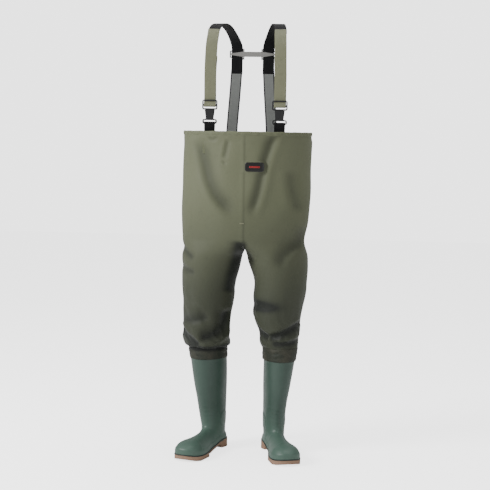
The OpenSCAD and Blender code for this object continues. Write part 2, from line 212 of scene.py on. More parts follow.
def rubber_material(name, colour, dark, rough, spec=0.5, bump=0.25, foot=0.0):
    n = Nodes(name)
    base = n.mix(colour, dark, n.times(n.ramp(n.noise(14.0, 4, 0.6), 0.35, 0.75), 0.5))
    scuff = n.ramp(n.noise(60.0, 5, 0.7, stretch=(1, 1, 0.35)), 0.6, 0.82)
    base = n.mix(base, tuple(min(1, c * 1.5 + 0.02) for c in colour), n.times(scuff, 0.25))
    if foot:  # painted light: the foot is painted paler than the shaft
        near = n.ramp(n.node("SeparateXYZ", 2, Vector=n.coords.outputs["Object"]), 0.04, 0.17)
        base = n.mix(tuple(c * foot for c in colour), base, near)
    n.bumps((n.noise(9.0, 3), bump, 0.003), (n.noise(420.0, 3), 0.1, 0.0004))
    r = n.plus(n.times(n.noise(22.0, 3), 0.16), rough - 0.08)
    return n.set(Base__Color=base, Roughness=r, Specular__IOR__Level=spec)


def webbing_material(name, colour, dark, pitch=0.0024, edge=None, edge_at=0.0):
    """Ribbed weave in UV metres: u across the strap from its middle, v along it."""
    n = Nodes(name)
    uv = n.coords.outputs["UV"]
    u = n.node("SeparateXYZ", 0, Vector=uv)
    v = n.node("SeparateXYZ", 1, Vector=uv)
    rib = n.sine(u, 1 / pitch)
    chevron = n.sine(n.plus(v, n.times(n.math("ABSOLUTE", rib), pitch * 0.35)), 1 / (pitch * 0.7))
    height = n.plus(n.times(rib, 0.5), n.times(chevron, 0.5))
    base = n.mix(dark, colour, n.ramp(height, -0.8, 0.7))
    base = n.mix(base, dark, n.times(n.ramp(n.noise(55.0, 3), 0.5, 0.8), 0.35))
    if edge:
        base = n.mix(base, edge, n.ramp(n.math("ABSOLUTE", u), edge_at - 0.0008, edge_at + 0.0008))
    n.bumps((height, 0.55, 0.0007), (n.noise(900.0, 2), 0.2, 0.0003))
    gloss = 0.28 if max(colour) > 0.05 else 0.1
    return n.set(Base__Color=base, Roughness=0.78, Specular__IOR__Level=gloss, Sheen__Weight=gloss * 0.8)


def plastic_material(name, colour, rough=0.42):
    n = Nodes(name)
    base = n.mix(colour, tuple(c * 0.75 for c in colour), n.times(n.noise(45.0, 3), 0.5))
    n.bumps((n.noise(700.0, 3), 0.15, 0.0003), (n.noise(60.0, 2), 0.08, 0.001))
    r = n.plus(n.times(n.noise(90.0, 3), 0.14), rough - 0.07)
    return n.set(Base__Color=base, Roughness=r, Specular__IOR__Level=0.5)


FABRIC = fabric_material()
BOOT = rubber_material("boot_pvc", (0.038, 0.067, 0.052), (0.027, 0.051, 0.039), 0.44, 0.42, foot=1.6)
WELT = rubber_material("boot_welt", (0.009, 0.02, 0.015), (0.006, 0.013, 0.01), 0.5, 0.4)
SOLE = rubber_material("sole_pvc", (0.3, 0.185, 0.125), (0.215, 0.13, 0.088), 0.62, 0.3, 0.4)
BLACK_WEB = webbing_material("black_webbing", (0.008, 0.008, 0.009), (0.003, 0.003, 0.0035))
OLIVE_WEB = webbing_material("olive_webbing", (0.215, 0.218, 0.135), (0.115, 0.12, 0.072))
GREY_WEB = webbing_material("grey_elastic", (0.215, 0.225, 0.215), (0.125, 0.13, 0.125), 0.0016,
                            (0.02, 0.02, 0.022), 0.0152)
LINING = webbing_material("lining_knit", (0.34, 0.34, 0.29), (0.22, 0.22, 0.18), 0.002)
BLACK_PLASTIC = plastic_material("black_plastic", (0.008, 0.008, 0.009))
GREY_PLASTIC = plastic_material("grey_plastic", (0.205, 0.2, 0.19), 0.5)
PATCH = plastic_material("badge_black", (0.005, 0.005, 0.005), 0.35)
RED_MARK = plastic_material("badge_red", (0.3, 0.012, 0.012), 0.4)


# ---------- Mesh helpers ----------

def link(obj):
    bpy.context.scene.collection.objects.link(obj)


def make(name, verts, faces, material=None, uv=None):
    mesh = bpy.data.meshes.new(name)
    mesh.from_pydata([tuple(v) for v in verts], [], [tuple(f) for f in faces])
    if uv is not None:
        layer = mesh.uv_layers.new(name="UVMap")
        layer.data.foreach_set("uv", np.asarray(uv, np.float32).ravel())
    mesh.polygons.foreach_set("use_smooth", [True] * len(mesh.polygons))
    mesh.update()
    obj = bpy.data.objects.new(name, mesh)
    link(obj)
    if material:
        mesh.materials.append(material)
    return obj


def coords(mesh):
    co = np.zeros(len(mesh.vertices) * 3)
    mesh.vertices.foreach_get("co", co)
    return co.reshape(-1, 3)


def evaluated(obj):
    """A new mesh holding obj with its modifiers applied."""
    bpy.context.view_layer.update()
    graph = bpy.context.evaluated_depsgraph_get()
    return bpy.data.meshes.new_from_object(obj.evaluated_get(graph))


def fit(thing, **values):
    """Sets several attributes at once."""
    for key, value in values.items():
        setattr(thing, key, value)
    return thing


def modify(obj, name, kind, **values):
    return fit(obj.modifiers.new(name, kind), **values)


def weigh(obj, name, weights):
    """A vertex group holding every weight above zero."""
    group = obj.vertex_groups.new(name=name)
    for i in np.nonzero(weights > 0)[0]:
        group.add([int(i)], float(weights[i]), "REPLACE")


def paint(mesh, name, values):
    """A value per vertex for the shaders."""
    layer = mesh.attributes.new(name, "FLOAT", "POINT")
    layer.data.foreach_set("value", values.astype(np.float32))


def apply_modifiers(obj):
    mesh = evaluated(obj)
    obj.modifiers.clear()
    obj.data = mesh
    return obj


def loft(name, rings, material=None, caps=True):
    rings = np.asarray(rings, float)
    rows, n = rings.shape[:2]
    verts = rings.reshape(-1, 3)
    faces = [(r * n + j, r * n + (j + 1) % n, (r + 1) * n + (j + 1) % n, (r + 1) * n + j)
             for r in range(rows - 1) for j in range(n)]
    if caps:
        faces += [tuple(range(n - 1, -1, -1)), tuple((rows - 1) * n + j for j in range(n))]
    return make(name, verts, faces, material)


def ellipse(cx, cy, z, a, b, n):
    t = np.arange(n) * TAU / n
    return np.stack([cx + a * np.cos(t), cy + b * np.sin(t), np.full(n, z)], 1)


def arc_length(points):
    """Distance along the points, from 0."""
    return np.concatenate([[0], np.cumsum(np.linalg.norm(np.diff(points, axis=0), axis=1))])


def spline(points, step):
    """Even points along a smooth curve through the given ones."""
    p = np.asarray(points, float)
    ext = np.vstack([2 * p[0] - p[1], p, 2 * p[-1] - p[-2]])
    out = []
    for i in range(1, len(ext) - 2):
        a, b, c, d = ext[i - 1:i + 3]
        t1 = max(np.linalg.norm(b - a), 1e-6) ** 0.5
        t2 = t1 + max(np.linalg.norm(c - b), 1e-6) ** 0.5
        t3 = t2 + max(np.linalg.norm(d - c), 1e-6) ** 0.5
        for t in np.linspace(t1, t2, 24, endpoint=False):
            a1 = (t1 - t) / t1 * a + t / t1 * b
            a2 = (t2 - t) / (t2 - t1) * b + (t - t1) / (t2 - t1) * c
            a3 = (t3 - t) / (t3 - t2) * c + (t - t2) / (t3 - t2) * d
            b1 = (t2 - t) / t2 * a1 + t / t2 * a2
            b2 = (t3 - t) / (t3 - t1) * a2 + (t - t1) / (t3 - t1) * a3
            out.append((t2 - t) / (t2 - t1) * b1 + (t - t1) / (t2 - t1) * b2)
    out.append(p[-1])
    out = np.array(out)
    along = arc_length(out)
    n = max(3, int(along[-1] / step) + 1)
    where = np.linspace(0, along[-1], n)
    return np.stack([np.interp(where, along, out[:, k]) for k in range(3)], 1), where


def strap(name, points, material, width=0.04, thick=0.0018, across=None, step=0.003, sag=0.0):
    """Webbing along a path, with rounded edges; u across and v along, in metres."""
    p, along = spline(points, step)
    n = len(p)
    if across is None:
        side = np.tile([1.0, 0, 0], (n, 1))
    else:
        mid = np.linspace(0, 1, len(across))
        side = np.stack([np.interp(along / along[-1], mid, [a[k] for a in across]) for k in range(3)], 1)
    way = np.gradient(p, axis=0)
    way /= np.linalg.norm(way, axis=1)[:, None]
    side -= (side * way).sum(1)[:, None] * way
    side /= np.linalg.norm(side, axis=1)[:, None]
    face = np.cross(way, side)
    h, t = width / 2, thick / 2
    us = np.concatenate([np.linspace(-h + t, h - t, 9), [h - t * 0.3, h], [h - t * 0.3],
                         np.linspace(h - t, -h + t, 9), [-h + t * 0.3, -h], [-h + t * 0.3]])
    ts = np.concatenate([np.full(9, t), [t * 0.75, 0], [-t * 0.75],
                         np.full(9, -t), [-t * 0.75, 0], [t * 0.75]])
    k = len(us)
    wobble = sag * np.sin(along * 31.0)[:, None, None] * (1 - (us / h) ** 2)[None, :, None]
    verts = (p[:, None] + side[:, None] * us[None, :, None] + face[:, None] * ts[None, :, None]
             + face[:, None] * wobble)
    faces, uv = [], []
    for r in range(n - 1):
        for j in range(k):
            q = (j + 1) % k
            faces.append((r * k + j, r * k + q, (r + 1) * k + q, (r + 1) * k + j))
            uv += [(us[j], along[r]), (us[q], along[r]), (us[q], along[r + 1]), (us[j], along[r + 1])]
    for r, order in ((0, range(k - 1, -1, -1)), (n - 1, range(k))):
        faces.append(tuple(r * k + j for j in order))
        uv += [(us[j], along[r]) for j in order]
    return make(name, verts.reshape(-1, 3), faces, material, uv)


def side_name(side):
    return "left" if side > 0 else "right"


def mirror_x(points, side):
    return [(side * x, y, z) for x, y, z in points]


def join(name, objs):
    """One object from several."""
    first = objs[0]
    with bpy.context.temp_override(active_object=first, selected_editable_objects=objs):
        bpy.ops.object.join()
    first.name = name
    first.data.name = name
    return first


# ---------- The fabric ----------
HALF = 56      # columns in half of the bib
INNER = 24     # columns along the crotch
LEG_COLS = HALF + INNER
SPLIT_TOP = 0.86
SPLIT_LEG = 0.54
LEG_TOP = 0.735  # where the bib's rings end and the legs' begin
FIRST_RING = 0.727  # highest ring of a leg
ROW_STEP = 0.0078
CROTCH_DROP = 0.024
LEG_END = 0.366
EXTRA = 0.14   # spare length of fabric over the boots
SETTLED = 0.5  # share of the settled shape in the final one
SETTLE_FRAMES = 22
HELD = 0.83   # the fabric is held above this height while it settles

# Half width to the wearer's right (-X) and left (+X) and half depth, as shares of the chest's
BIB_RIGHT = [(0.66, 0.986), (0.72, 0.988), (0.8, 1.0), (0.9, 1.004), (1.1, 1.0)]
BIB_LEFT = [(0.66, 0.968), (0.74, 0.93), (0.8, 0.982), (0.88, 1.004), (1.0, 1.004), (1.1, 1.0)]
BIB_DEPTH = [(0.66, 0.87), (0.7, 0.89), (0.75, 0.915), (0.8, 0.945), (0.87, 0.985), (1.0, 1.006),
             (1.1, 1.0)]

# Rows down each leg: height, centre x, centre y from BY, half width, half depth
LEG_RIGHT = [(0.735, 0.1080, 0.000, 0.1090, 0.1200), (0.666, 0.1155, 0.002, 0.1035, 0.1120),
             (0.632, 0.1190, 0.004, 0.1000, 0.1080), (0.598, 0.1240, 0.006, 0.0950, 0.1050),
             (0.564, 0.1275, 0.008, 0.0915, 0.1030), (0.530, 0.1290, 0.010, 0.0900, 0.1010),
             (0.462, 0.1315, 0.013, 0.0860, 0.0990), (0.400, 0.1350, 0.018, 0.0850, 0.0970),
             (0.385, 0.1360, 0.020, 0.0845, 0.0960)]
LEG_LEFT = [(0.735, 0.1080, 0.000, 0.1090, 0.1200), (0.666, 0.1120, 0.002, 0.1035, 0.1120),
            (0.632, 0.1185, 0.004, 0.0970, 0.1080), (0.598, 0.1222, 0.006, 0.0905, 0.1050),
            (0.564, 0.1215, 0.008, 0.0905, 0.1030), (0.530, 0.1165, 0.010, 0.0905, 0.1010),
            (0.496, 0.1145, 0.012, 0.0880, 0.0990), (0.455, 0.1150, 0.015, 0.0825, 0.0970),
            (0.428, 0.1215, 0.018, 0.0760, 0.0940), (0.400, 0.1210, 0.021, 0.0695, 0.0900),
            (0.385, 0.1215, 0.022, 0.0665, 0.0870)]
# Last rows of each leg, turning under and in to the boot
TUCK_RIGHT = [(0.3760, 0.1375, 0.021, 0.0830, 0.0960), (0.3670, 0.1375, 0.022, 0.0810, 0.0945),
              (0.3625, 0.1370, 0.023, 0.0775, 0.0910), (0.3630, 0.1355, 0.024, 0.0735, 0.0870),
              (0.3675, 0.1345, 0.024, 0.0700, 0.0845), (0.3660, 0.1335, 0.024, 0.0665, 0.0820)]
TUCK_LEFT = [(0.3780, 0.1220, 0.023, 0.0650, 0.0850), (0.3720, 0.1230, 0.024, 0.0635, 0.0835),
             (0.3660, 0.1240, 0.024, 0.0612, 0.0818)]


def bib_ring(z):
    t = np.arange(2 * HALF) * TAU / (2 * HALF)
    across = np.sin(t)
    a = np.where(across > 0, table(z, BIB_LEFT), table(z, BIB_RIGHT)) * CHEST_A
    b = table(z, BIB_DEPTH) * CHEST_B
    return np.stack([a * across, BY - b * np.cos(t), np.full(2 * HALF, z)], 1)


def leg_rows(side):
    """Every ring of one leg as (height, centre x, centre y, half width, half depth)."""
    profile, tuck = (LEG_LEFT, TUCK_LEFT) if side > 0 else (LEG_RIGHT, TUCK_RIGHT)
    heights = np.concatenate([np.linspace(FIRST_RING, 0.532, 23), np.linspace(0.526, 0.385, 25)])
    columns = [table(heights, [(row[0], row[k]) for row in reversed(profile)]) for k in range(1, 5)]
    return list(zip(heights, *columns)) + tuck


def leg_ring(row, side):
    """Columns 0..HALF run front to back round the outside; the rest return through the crotch."""
    z, cx, cy, a, b = row
    spread = TAU * HALF / LEG_COLS / 2
    ang = -spread + TAU * np.arange(LEG_COLS) / LEG_COLS  # 0 is straight out
    pts = np.stack([cx + a * np.cos(ang), BY + cy + b * np.sin(ang), np.full(LEG_COLS, z)], 1)
    near = smooth((0.392 - z) / 0.024)
    c, s = math.cos(TOE_OUT), math.sin(TOE_OUT)  # near the boot, turn to its own outline
    dx, dy = a * np.cos(ang - TOE_OUT), b * np.sin(ang - TOE_OUT)
    middle = ((cx - 0.124) * 0.6 + BAND_X, (cy - 0.024) * 0.6 + BAND_Y)
    turned = np.stack([middle[0] + dx * c - dy * s, middle[1] + dx * s + dy * c, pts[:, 2]], 1)
    pts = pts * (1 - near) + turned * near
    pts[:, 0] *= side
    return pts


def crotch_line():
    """From back to front through the crotch, ends left out."""
    b = table(LEG_TOP, BIB_DEPTH) * CHEST_B
    t = np.linspace(0, math.pi, INNER + 1)[1:-1]
    z = LEG_TOP - CROTCH_DROP * np.sin(t) ** 0.8
    return np.stack([np.zeros(INNER - 1), BY + b * np.cos(t), z], 1)


def pants_mesh():
    """Returns verts, rest verts, faces, uv per corner, part per face and the ids of pinned verts."""
    top_rows = np.arange(HEM, LEG_TOP - 0.0001, -ROW_STEP)
    top_rows = np.concatenate([top_rows, [LEG_TOP]])
    verts = [bib_ring(z) for z in top_rows]
    ids = [np.arange(2 * HALF) + r * 2 * HALF for r in range(len(top_rows))]
    faces, uv, part = [], [], []
    pitch_u = math.pi * (CHEST_A + CHEST_B) / 2 / HALF

    def quad(a, b, c, d, u0, u1, v0, v1, p):
        faces.append((a, d, c, b))
        uv.extend([(u0, v0), (u0, v1), (u1, v1), (u1, v0)])
        part.append(p)

    for r in range(len(top_rows) - 1):
        z = top_rows[r + 1]
        for j in range(2 * HALF):
            k = (j + 1) % (2 * HALF)
            p = 0 if z > SPLIT_TOP - 0.001 else (1 if j < HALF else 2)
            quad(ids[r][j], ids[r][k], ids[r + 1][k], ids[r + 1][j], j * pitch_u, (j + 1) * pitch_u,
                 -top_rows[r], -z, p)
    total = len(top_rows) * 2 * HALF
    crotch = crotch_line()
    verts.append(crotch)
    crotch_ids = np.arange(INNER - 1) + total
    total += INNER - 1
    last = ids[-1]
    pinned = list(ids[0]) + list(ids[1])
    rest_legs = {}
    for side, part_hip in ((1, 1), (-1, 2)):
        if side > 0:
            top = np.concatenate([last[:HALF + 1], crotch_ids])
        else:
            top = np.concatenate([[last[0]], last[:HALF - 1:-1], crotch_ids])
        all_verts = np.vstack(verts)
        start = all_verts[top]
        prev = top
        prev_z = LEG_TOP
        rows = leg_rows(side)
        slack_z = [FIRST_RING]
        for r in range(1, len(rows)):
            span = math.hypot(rows[r][0] - rows[r - 1][0], rows[r][3] - rows[r - 1][3])
            extra = 1 + EXTRA * smooth((0.54 - rows[r][0]) / 0.06)
            slack_z.append(slack_z[-1] - span * extra)
        for r, row in enumerate(rows):
            z = row[0]
            ring = leg_ring(row, side)
            w = smooth((LEG_TOP - z) / 0.055)
            lift = start[:, 2] - LEG_TOP  # the crotch hangs a little lower
            pts = start * (1 - w) + ring * w
            pts[:, 2] = z + lift * (1 - w)
            verts.append(pts)
            rest_legs[total] = (slack_z[r] - z)
            now = np.arange(LEG_COLS) + total
            total += LEG_COLS
            p = part_hip if z > SPLIT_LEG - 0.001 and r < 30 else part_hip + 2
            for j in range(LEG_COLS):
                k = (j + 1) % LEG_COLS
                u0, u1 = j * pitch_u * 0.8, (j + 1) * pitch_u * 0.8
                if side > 0:
                    quad(prev[j], prev[k], now[k], now[j], u0, u1, -prev_z, -slack_z[r], p)
                else:
                    quad(prev[k], prev[j], now[j], now[k], u1, u0, -prev_z, -slack_z[r], p)
            prev, prev_z = now, slack_z[r]
        pinned += list(prev)
    verts = np.vstack(verts)
    rest = verts.copy()
    for first, drop in rest_legs.items():
        rest[first:first + LEG_COLS, 2] += drop
    return verts, rest, faces, uv, part, pinned


def noise_field(p, scale, seed):
    """Smooth deterministic noise from a few sine waves."""
    r = np.random.default_rng(seed)
    out = np.zeros(len(p))
    for _ in range(9):
        d = r.normal(size=3)
        d /= np.linalg.norm(d)
        out += np.sin((p @ d) * scale * r.uniform(0.7, 1.5) + r.uniform(0, TAU))
    return out / 3


def settle(verts, rest, faces, pinned):
    """Cloth simulation of the crotch and legs, held at the bib and at the boots' tops."""
    low = [i for i, f in enumerate(faces) if max(verts[v][2] for v in f) < HELD + 0.01]
    used = {}
    sub = [[used.setdefault(v, len(used)) for v in faces[i]] for i in low]
    ids = np.array(list(used))
    obj = make("cloth", verts[ids], sub)
    obj.shape_key_add(name="Basis")
    key = obj.shape_key_add(name="slack")
    key.data.foreach_set("co", rest[ids].astype(np.float32).ravel())
    height = verts[ids][:, 2]
    hold = np.maximum(smooth((height - HELD + 0.06) / 0.05),
                      0.22 + 0.3 * smooth((height - 0.5) / 0.1) + 0.35 * smooth((height - 0.64) / 0.05))
    hold[np.isin(ids, pinned)] = 1
    weigh(obj, "held", hold)
    m = modify(obj, "cloth", "CLOTH")
    fit(m.settings, quality=6, mass=0.004, air_damping=1.0, tension_stiffness=50, compression_stiffness=50,
        shear_stiffness=20, bending_stiffness=40, tension_damping=6, compression_damping=6, shear_damping=5,
        bending_damping=0.8, use_pressure=True, uniform_pressure_force=0.25, vertex_group_mass="held",
        rest_shape_key=key)
    fit(m.collision_settings, collision_quality=2, use_self_collision=True, self_distance_min=0.004,
        self_friction=4)
    m.point_cache.frame_end = SETTLE_FRAMES
    scene = bpy.context.scene
    scene.frame_end = SETTLE_FRAMES
    for f in range(1, SETTLE_FRAMES + 1):
        scene.frame_set(f)
    out = verts.copy()
    out[ids] = coords(evaluated(obj))
    bpy.data.objects.remove(obj)
    return out


def fold(p, n, path, depth, above, below, lip_above=0.0, lip_below=0.4, ends=0.22, front=True,
         shade=None, wrap=0.15):
    """A soft crease pressed along a path of (x, z) points. Above and below are the widths of its
    two walls, to the left and to the right of the way the path runs; each lip swells beside it.
    Returns the movement and how dark the crease's painted shade is."""
    pts, _ = spline([(x, 0, z) for x, z in path], 0.004)
    d2 = np.full(len(p), 1e9)
    sgn = np.zeros(len(p))
    tt = np.zeros(len(p))
    for i in range(len(pts) - 1):
        a, b = pts[i][[0, 2]], pts[i + 1][[0, 2]]
        ab = b - a
        rel = p[:, [0, 2]] - a
        t = np.clip((rel @ ab) / (ab @ ab), 0, 1)
        off = rel - t[:, None] * ab
        d = (off ** 2).sum(1)
        better = d < d2
        d2[better] = d[better]
        cross = ab[0] * rel[:, 1] - ab[1] * rel[:, 0]
        sgn[better] = np.sign(cross)[better]
        tt[better] = (i + t[better]) / (len(pts) - 1)
    d = np.sqrt(d2)
    width = np.where(sgn > 0, above, below)
    lip = np.where(sgn > 0, lip_above, lip_below)
    first, second = ends if isinstance(ends, tuple) else (ends, ends)
    fade = smooth(tt / first) * smooth((1 - tt) / second)
    facing = smooth((wrap - n[:, 1]) / 0.45) if front else smooth((n[:, 1] + wrap) / 0.45)
    valley = np.exp(-(d / width) ** 2)
    press = -valley + lip * np.exp(-((d - 1.7 * width) / (1.0 * width)) ** 2)
    dark = depth / 0.014 if shade is None else shade
    return n * (press * depth * fade * facing)[:, None], valley * fade * facing * dark


def vertex_normals(mesh):
    out = np.zeros(len(mesh.vertices) * 3)
    mesh.vertices.foreach_get("normal", out)
    return out.reshape(-1, 3)


def pull(*shape, **options):
    """One fold: its path, depth and the widths of its walls left and right of the path, then options."""
    return shape, options


# Each fold also paints shade into its valley; shade sets how dark, otherwise it follows the depth
FOLDS = [
    # Bib, front: the long pull from the left tab, the sagging curve below the right one, puckers
    pull([(0.108, 1.112), (0.073, 1.0), (0.054, 0.905), (0.026, 0.815)], 0.0085, 0.013, 0.017,
         lip_above=0.3, lip_below=0.05, ends=(0.06, 0.2), shade=0.5),
    pull([(-0.172, 1.085), (-0.143, 1.032), (-0.112, 0.934), (-0.074, 0.872), (-0.014, 0.822)],
         0.0075, 0.03, 0.016, lip_below=0.35, lip_above=0.0),
    pull([(-0.122, 1.088), (-0.102, 1.078), (-0.084, 1.09)], 0.0035, 0.006, 0.007),
    pull([(-0.05, 1.082), (-0.057, 1.045), (-0.065, 1.01)], 0.0035, 0.009, 0.006),
    pull([(-0.07, 1.004), (-0.056, 0.996)], 0.0025, 0.006, 0.006),
    pull([(0.156, 0.99), (0.166, 0.91), (0.19, 0.83)], 0.0045, 0.02, 0.016),
    pull([(0.219, 0.8), (0.192, 0.742), (0.142, 0.69), (0.124, 0.64)], 0.006, 0.014, 0.026,
         lip_above=0.3),
    pull([(-0.236, 0.722), (-0.205, 0.7), (-0.16, 0.668)], 0.006, 0.013, 0.013,
         ends=0.25, wrap=0.28, lip_below=0.05, shade=0.6),
    pull([(-0.236, 0.65), (-0.2, 0.636), (-0.155, 0.622)], 0.005, 0.012, 0.011,
         ends=0.25, lip_below=0.05, shade=0.5),
    # Shallow pull under the crotch, darkened mostly with painted shade
    pull([(-0.005, 0.745), (-0.015, 0.695), (-0.032, 0.635), (-0.048, 0.55)], 0.003, 0.024, 0.022,
         shade=1.15, ends=0.1, lip_below=0.0, wrap=0.5),
    pull([(0.006, 0.745), (0.018, 0.695), (0.036, 0.65)], 0.003, 0.01, 0.014, shade=0.5),
    # Bib, back
    pull([(-0.12, 1.08), (-0.06, 0.96), (-0.1, 0.84)], 0.006, 0.016, 0.016, front=False),
    pull([(0.13, 1.08), (0.08, 0.95), (0.11, 0.83)], 0.006, 0.016, 0.016, front=False),
    # Over the wearer's right boot
    pull([(-0.226, 0.463), (-0.17, 0.462), (-0.105, 0.478)], 0.006, 0.022, 0.013,
         lip_below=0.25, shade=0.65),
    pull([(-0.152, 0.396), (-0.11, 0.404), (-0.076, 0.424), (-0.06, 0.452), (-0.05, 0.505)],
         0.0125, 0.024, 0.013, lip_below=0.65, lip_above=0.1, shade=0.95, ends=0.15),
    # Its dark lower side is deepened with painted shade
    pull([(-0.234, 0.43), (-0.195, 0.409), (-0.146, 0.37)], 0.008, 0.01, 0.024,
         lip_above=0.15, lip_below=0.0, ends=0.1, shade=1.5),
    # Over the wearer's left boot
    # A dark wedge from the inner edge, mostly painted shade over a shallow fold
    pull([(0.012, 0.517), (0.07, 0.514), (0.17, 0.514)], 0.0045, 0.018, 0.015,
         lip_below=0.0, ends=(0.02, 0.85), shade=2.8, wrap=0.6),
    pull([(0.018, 0.474), (0.05, 0.43), (0.094, 0.405)], 0.01, 0.01, 0.018,
         lip_above=0.15, ends=0.12, shade=1.2),
    pull([(0.086, 0.405), (0.13, 0.421), (0.208, 0.462)], 0.01, 0.01, 0.017,
         lip_above=0.15, ends=0.12, shade=1.3),
    pull([(0.092, 0.389), (0.14, 0.388), (0.2, 0.4)], 0.0075, 0.008, 0.013,
         lip_above=0.25, lip_below=0.1, shade=1.2),
]


def build_fabric():
    verts, rest, faces, uv, part, pinned = pants_mesh()
    loose = np.ones(len(verts))
    loose[pinned] = 0
    verts = verts + (np.stack([noise_field(verts, 34, 3 + k) for k in range(3)], 1)
                     * 0.0016 * (loose * smooth((0.62 - verts[:, 2]) / 0.1))[:, None])
    # The bunches over the boots start as tilted rolls
    for side, tilt, phase in ((1, 1.3, 0.9), (-1, -1.0, 2.2)):
        dx, dy = verts[:, 0] - side * 0.126, verts[:, 1] - BY - 0.016
        r = np.hypot(dx, dy) + 1e-9
        ang = np.arctan2(dy, side * dx)
        wave = np.sin((verts[:, 2] - LEG_END) / 0.062 * TAU - 0.6 + tilt * np.sin(ang + phase))
        window = (smooth((0.5 - verts[:, 2]) / 0.05) * smooth((verts[:, 2] - LEG_END) / 0.02)
                  * smooth(dy / 0.05))
        grow = wave * window * 0.009 * (verts[:, 0] * side > 0.002) * loose
        verts = verts + np.stack([dx / r, dy / r, 0 * r], 1) * grow[:, None]
    final = verts + (settle(verts, rest, faces, pinned) - verts) * SETTLED
    obj = make("fabric_all", final, faces, FABRIC, uv)
    obj.data.polygons.foreach_set("material_index", part)
    for _ in range(4):
        obj.data.materials.append(FABRIC)
    modify(obj, "smooth", "SMOOTH", factor=0.5, iterations=4)
    height = final[:, 2]
    weigh(obj, "hips", smooth((0.83 - height) / 0.05) * smooth((height - 0.6) / 0.04))
    modify(obj, "level", "SMOOTH", factor=0.5, iterations=40, use_x=False, use_z=False, vertex_group="hips")
    modify(obj, "subdivide", "SUBSURF", levels=1, render_levels=1)
    apply_modifiers(obj)
    mesh = obj.data
    p, n = coords(mesh), vertex_normals(mesh)
    if (n[:, 1] * (p[:, 1] - BY)).mean() < 0:
        mesh.flip_normals()
        n = -n
    quiet = smooth((HEM - 0.004 - p[:, 2]) / 0.03)
    move = np.zeros_like(p)
    # crease gathers the folds' painted shade for the fabric's colour
    crease = np.zeros(len(p))
    for shape, options in FOLDS:
        shift, dark = fold(p, n, *shape, **options)
        move += shift
        crease = np.maximum(crease, dark)
    waves = noise_field(p, 17, 40) * 0.0026 + noise_field(p, 42, 41) * 0.001
    hemwave = noise_field(p * [1, 1, 0.3], 60, 42) * 0.0012 * smooth((p[:, 2] - 1.02) / 0.06)
    on_bib = smooth((p[:, 2] - 0.62) / 0.12)
    move += n * ((waves * on_bib + hemwave) * quiet)[:, None]
    # The moulded badge holds the fabric flat beneath it
    away = np.maximum(np.abs(p[:, 0] - badge_x) - 0.031, np.abs(p[:, 2] - badge_z) - 0.0145)
    flat = smooth(away / 0.006) + (p[:, 1] > BY)
    move *= np.minimum(flat, 1)[:, None]
    # Welded centre seams: a narrow raised line in front and behind
    high = p[:, 2] > 0.69
    line = np.exp(-(p[:, 0] / 0.004) ** 2) * high
    move += n * (line * 0.0009)[:, None]
    q = p + move * quiet[:, None]
    mesh.vertices.foreach_set("co", q.astype(np.float32).ravel())
    mesh.update()
    # Painted shadow below the overhanging bunch of the wearer's right leg
    under = smooth((0.377 - p[:, 2]) / 0.006) * (p[:, 0] < 0)
    crease = np.maximum(crease, under)
    paint(mesh, "crease", np.clip(crease, 0, 1))
    seam = np.exp(-(np.abs(p[:, 0] - 0.0045) / 0.0022) ** 2) * high * 0.7
    paint(mesh, "seam", seam)
    return obj


def split_parts(obj, names):
    """Cuts the fabric into one object per part, with the whole fabric's normals."""
    mesh = obj.data
    p, n = coords(mesh), vertex_normals(mesh)
    marks = {}
    for key in ("seam", "crease"):
        marks[key] = np.zeros(len(p), np.float32)
        mesh.attributes[key].data.foreach_get("value", marks[key])
    uv = np.zeros(len(mesh.loops) * 2, np.float32)
    mesh.uv_layers[0].data.foreach_get("uv", uv)
    uv = uv.reshape(-1, 2)
    out = {}
    for index, name in names.items():
        faces, corner_uv, ids = [], [], {}
        for poly in mesh.polygons:
            if poly.material_index != index:
                continue
            faces.append([ids.setdefault(v, len(ids)) for v in poly.vertices])
            corner_uv.extend(uv[i] for i in poly.loop_indices)
        keep = np.array(list(ids.keys()))
        piece = make(name, p[keep], faces, FABRIC, corner_uv)
        for key, values in marks.items():
            paint(piece.data, key, values[keep])
        piece.data.normals_split_custom_set_from_vertices([tuple(v) for v in n[keep]])
        out[name] = piece
    bpy.data.objects.remove(obj)
    return out


badge_low, badge_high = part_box("badge")
badge_x, badge_z = (badge_low.x + badge_high.x) / 2, (badge_low.z + badge_high.z) / 2
fabric = build_fabric()
fabric_tree = BVHTree.FromPolygons([tuple(v) for v in coords(fabric.data)],
                                   [tuple(f.vertices) for f in fabric.data.polygons])


def on_fabric(x, z, lift):
    """The point on the front of the bib at (x, z), raised by lift."""
    hit, normal, _, _ = fabric_tree.ray_cast(Vector((x, -1.0, z)), Vector((0, 1, 0)))
    if normal.y > 0:
        normal = -normal
    return np.array(hit + normal * lift)


def place(obj, slot, body, *nodes):
    """obj rides on a body and stands in for the CAD nodes."""
    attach(obj, body)
    if nodes:
        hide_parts(*nodes)


# ---------- Things on the bib ----------

CORNER_POINTS = 7


def rounded_outline(w, h, r):
    pts = []
    for cx, cy, a0 in ((w / 2 - r, h / 2 - r, 0), (-w / 2 + r, h / 2 - r, 90),
                       (-w / 2 + r, -h / 2 + r, 180), (w / 2 - r, -h / 2 + r, 270)):
        for a in np.radians(np.linspace(a0, a0 + 90, CORNER_POINTS)):
            pts.append((cx + r * math.cos(a), cy + r * math.sin(a)))
    return np.array(pts)


def patch(name, cx, cz, w, h, r, thick, lift, material):
    """A thin rounded plate lying on the bib."""
    rings = []
    for grow, up in ((0.0, lift), (0.0, lift + thick * 0.6), (-0.0008, lift + thick)):
        outline = rounded_outline(w + 2 * grow, h + 2 * grow, r)
        rings.append([on_fabric(cx + x, cz + z, up) for x, z in outline])
    for share in np.linspace(0.95, 0.03, 16):
        outline = rounded_outline(w - 0.0016, h - 0.0016, r) * share
        rings.append([on_fabric(cx + x, cz + z, lift + thick) for x, z in outline])
    return loft(name, rings, material)


